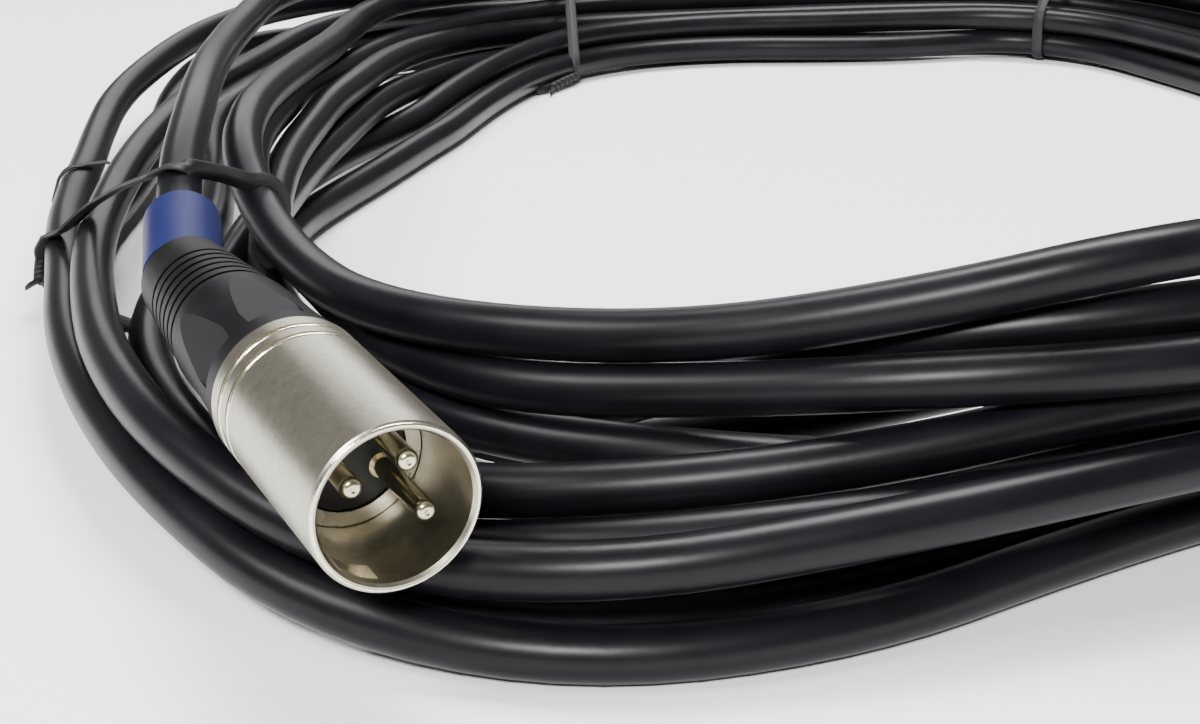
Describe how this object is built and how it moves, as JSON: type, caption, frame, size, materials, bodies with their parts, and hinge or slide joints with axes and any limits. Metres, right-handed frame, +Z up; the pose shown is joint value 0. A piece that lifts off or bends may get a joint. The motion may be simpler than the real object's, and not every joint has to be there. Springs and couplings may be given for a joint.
{
  "type": "xlr cable coil",
  "caption": "Loose tied coil of black microphone cable, with a male and a female XLR connector lying on its turns.",
  "frame": {"origin": "on the surface that the coil lies on, below the middle of the whole object", "axes": "+Z up, +Y away from the side where the male connector points out of the coil"},
  "size_m": [0.3109, 0.3882, 0.0409],
  "materials": {
    "jacket": "semi-gloss black PVC cable jacket with soft broad highlights",
    "tie": "flat dark PVC-covered wire twist tie",
    "nickel_shell": "satin nickel plating with a fine cast speckle",
    "contact": "nickel-plated brass contact, polished tip",
    "insert": "moulded black insulator",
    "bushing": "glossy moulded black plastic",
    "boot": "matte black rubber",
    "sleeve": "blue plastic coding sleeve",
    "spring_steel": "plated steel",
    "core_red": "red core insulation",
    "core_white": "white core insulation",
    "drain": "tinned copper strands"
  },
  "bodies": {
    "root": {"cable_coil": "jacket", "female_boot": "boot", "female_bushing": "bushing", "female_chuck": "insert", "female_coding_sleeve": "sleeve", "female_conductor_cold": "core_white", "female_conductor_hot": "core_red", "female_drain_wire": "drain", "female_insert": "insert", "female_jacket_end": "jacket", "female_latch_pivot": "spring_steel", "female_latch_spring": "spring_steel", "female_retainer": "insert", "female_seal_ring": "insert", "female_shell": "nickel_shell", "female_socket_1": "contact", "female_socket_2": "contact", "female_socket_3": "contact", "female_tail": "jacket", "male_boot": "boot", "male_bushing": "bushing", "male_chuck": "insert", "male_coding_sleeve": "sleeve", "male_conductor_cold": "core_white", "male_conductor_hot": "core_red", "male_drain_wire": "drain", "male_earth_ring": "spring_steel", "male_insert": "insert", "male_jacket_end": "jacket", "male_pin_1": "contact", "male_pin_2": "contact", "male_pin_3": "contact", "male_seal_ring": "insert", "male_shell": "nickel_shell", "male_tail": "jacket", "tie_back_left": "tie", "tie_back_right": "tie", "tie_left": "tie", "tie_right": "tie"},
    "latch": {"female_latch": "spring_steel"}
  },
  "joints": [
    {"name": "latch_press", "type": "hinge", "parent": "root", "child": "latch", "pos_m": [0.12131, -0.03373, 0.03586], "axis": [0.9833, -0.1822, 0], "range_deg": [0, 5], "stiffness_Nm_per_rad": 0.3, "springref_deg": -8.59, "deforming": ["female_latch_spring"]}
  ]
}
